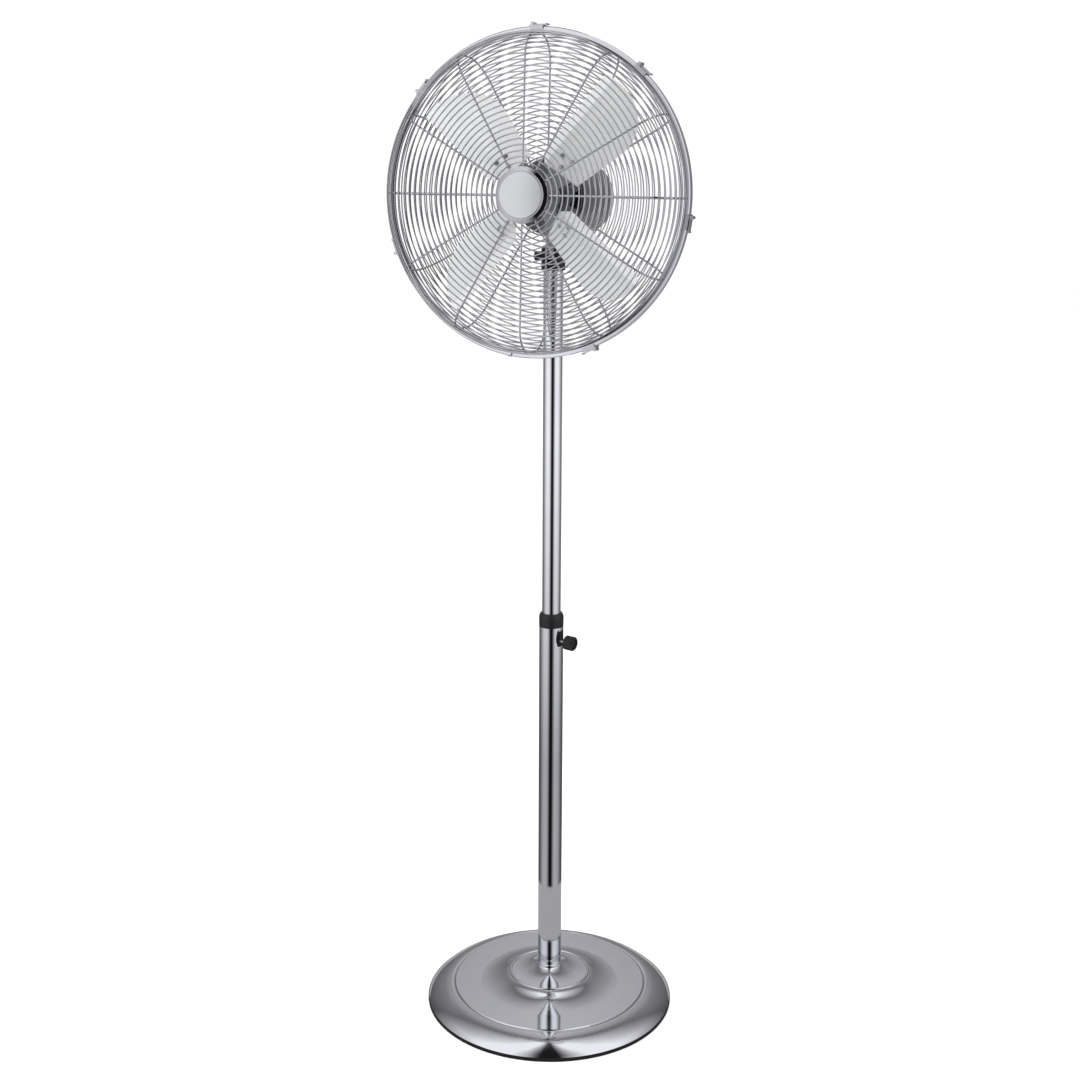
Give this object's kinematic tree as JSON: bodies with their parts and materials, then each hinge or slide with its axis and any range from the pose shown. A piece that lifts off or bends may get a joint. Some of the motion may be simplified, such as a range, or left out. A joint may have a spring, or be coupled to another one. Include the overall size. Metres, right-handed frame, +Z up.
{
  "type": "pedestal fan",
  "caption": "Floor-standing fan with a round weighted base, a height-adjustable chrome pole and a tilting, oscillating head with metal blades in a round wire cage.",
  "frame": {"origin": "on the floor under the axis of the pole, at the centre of the round base's rest face", "axes": "+Z up along the pole; -Y is the way the fan blows, +Y the motor's back; +X to the fan's right seen from the front"},
  "size_m": [0.4599, 0.4032, 1.545],
  "materials": {
    "base_chrome": "polished",
    "chrome": "polished",
    "wire_chrome": "polished",
    "dark_metal": "gloss",
    "zinc": "satin",
    "cast_iron": "rough",
    "cast_alloy": "cast",
    "lamination": "satin",
    "copper": "enamelled",
    "blade_aluminium": "brushed",
    "badge_steel": "brushed",
    "black_plastic": "satin",
    "black_gloss": "gloss",
    "gear_nylon": "satin",
    "rubber": "matte"
  },
  "bodies": {
    "stand": {"base_shell": "base_chrome", "base_edge_seal": "rubber", "base_weight": "cast_iron", "base_flange": "chrome", "tube_plug": "black_plastic", "base_bolt": "zinc", "base_washer": "zinc", "lower_tube": "chrome", "tube_collar": "black_plastic"},
    "height_clamp": {"height_knob": "black_plastic", "height_screw": "zinc"},
    "mast": {"upper_tube": "chrome", "mast_foot": "black_plastic", "neck_socket": "black_plastic", "tilt_nut": "zinc"},
    "tilt_clamp": {"tilt_knob": "black_plastic", "tilt_bolt": "zinc"},
    "neck": {"tilt_yoke": "cast_alloy"},
    "link": {"osc_link": "zinc"},
    "head": {"pivot_post": "zinc", "gear_case": "cast_alloy", "motor_front_plate": "cast_alloy", "motor_housing": "dark_metal", "head_screws": "zinc", "stator_core": "lamination", "stator_windings": "copper", "motor_bearings": "zinc", "rear_centre_plate": "wire_chrome", "rear_rings": "wire_chrome", "rear_struts": "wire_chrome", "front_rings": "wire_chrome", "front_struts": "wire_chrome", "edge_wires": "wire_chrome", "front_centre_plate": "wire_chrome", "badge_ring": "wire_chrome", "hub_badge": "badge_steel", "rim_band": "chrome", "rim_screw": "zinc", "clip_brackets": "wire_chrome", "switch_body": "black_plastic", "cable_gland": "black_plastic"},
    "fan": {"rotor_core": "lamination", "motor_shaft": "zinc", "blade_hub": "cast_alloy", "blade_1": "blade_aluminium", "blade_2": "blade_aluminium", "blade_3": "blade_aluminium", "blade_4": "blade_aluminium", "blade_rivets": "zinc", "spinner_nut": "black_gloss"},
    "worm_gear": {"worm_wheel": "gear_nylon"},
    "crank": {"crank_gear": "gear_nylon"},
    "oscillation_knob": {"osc_knob": "black_plastic"},
    "dial": {"speed_dial": "black_plastic"},
    "clip_1": {"rim_clip_1": "wire_chrome"},
    "clip_2": {"rim_clip_2": "wire_chrome"},
    "clip_3": {"rim_clip_3": "wire_chrome"},
    "clip_4": {"rim_clip_4": "wire_chrome"},
    "clip_5": {"rim_clip_5": "wire_chrome"},
    "clip_6": {"rim_clip_6": "wire_chrome"}
  },
  "joints": [
    {"name": "height_slide", "type": "slide", "parent": "stand", "child": "mast", "axis": [0, 0, 1], "range_m": [-0.45, 0.015]},
    {"name": "height_knob_turn", "type": "hinge", "parent": "stand", "child": "height_clamp", "pos_m": [0.01922, -0.00551, 0.6244], "axis": [0.9613, -0.2756, 0], "range_deg": [0, 360]},
    {"name": "tilt", "type": "hinge", "parent": "mast", "child": "neck", "pos_m": [0, 0, 1.22], "axis": [-1, 0, 0], "range_deg": [-12.8, 17.2]},
    {"name": "tilt_knob_turn", "type": "hinge", "parent": "mast", "child": "tilt_clamp", "pos_m": [-0.02, 0, 1.22], "axis": [-1, 0, 0], "range_deg": [0, 360]},
    {"name": "oscillation", "type": "hinge", "parent": "neck", "child": "head", "pos_m": [0, 0.00098, 1.23998], "axis": [0, 0.0488, 0.9988], "range_deg": [-38, 38]},
    {"name": "link_swing", "type": "hinge", "parent": "neck", "child": "link", "pos_m": [0.016, 0.00116, 1.24372], "axis": [0, 0.0488, 0.9988], "range_deg": [-38, 38]},
    {"name": "fan_spin", "type": "hinge", "parent": "head", "child": "fan", "pos_m": [0.012, -0.10567, 1.31127], "axis": [0, -0.9988, 0.0488], "continuous": true},
    {"name": "worm_gear_turn", "type": "hinge", "parent": "head", "child": "worm_gear", "pos_m": [-0.003, 0.04186, 1.29805], "axis": [0, 0.0488, 0.9988], "continuous": true},
    {"name": "crank_turn", "type": "hinge", "parent": "head", "child": "crank", "pos_m": [0.016, 0.04089, 1.27807], "axis": [0, 0.0488, 0.9988], "continuous": true},
    {"name": "oscillation_knob_pull", "type": "slide", "parent": "head", "child": "oscillation_knob", "axis": [0, 0.0488, 0.9988], "range_m": [0, 0.008]},
    {"name": "speed_dial_turn", "type": "hinge", "parent": "head", "child": "dial", "pos_m": [0.012, 0.08754, 1.26978], "axis": [0, 0.9988, -0.0488], "range_deg": [0, 180]},
    {"name": "rim_clip_1_open", "type": "hinge", "parent": "head", "child": "clip_1", "pos_m": [0.005, -0.09437, 1.54229], "axis": [0, -0.9988, 0.0488], "range_deg": [0, 100]},
    {"name": "rim_clip_2_open", "type": "hinge", "parent": "head", "child": "clip_2", "pos_m": [0.16157, -0.09704, 1.48763], "axis": [0, -0.9988, 0.0488], "range_deg": [0, 100]},
    {"name": "rim_clip_3_open", "type": "hinge", "parent": "head", "child": "clip_3", "pos_m": [0.24202, -0.1069, 1.28604], "axis": [0, -0.9988, 0.0488], "range_deg": [0, 100]},
    {"name": "rim_clip_4_open", "type": "hinge", "parent": "head", "child": "clip_4", "pos_m": [0.10882, -0.11593, 1.10134], "axis": [0, -0.9988, 0.0488], "range_deg": [0, 100]},
    {"name": "rim_clip_5_open", "type": "hinge", "parent": "head", "child": "clip_5", "pos_m": [-0.20296, -0.10985, 1.22569], "axis": [0, -0.9988, 0.0488], "range_deg": [0, 100]},
    {"name": "rim_clip_6_open", "type": "hinge", "parent": "head", "child": "clip_6", "pos_m": [-0.16969, -0.09867, 1.45441], "axis": [0, -0.9988, 0.0488], "range_deg": [0, 100]}
  ],
  "couplings": [
    {"joint": "worm_gear_turn", "follows": "fan_spin", "ratio": 0.041667},
    {"joint": "crank_turn", "follows": "fan_spin", "ratio": -0.013889},
    {"joint": "link_swing", "follows": "oscillation", "ratio": 1}
  ]
}
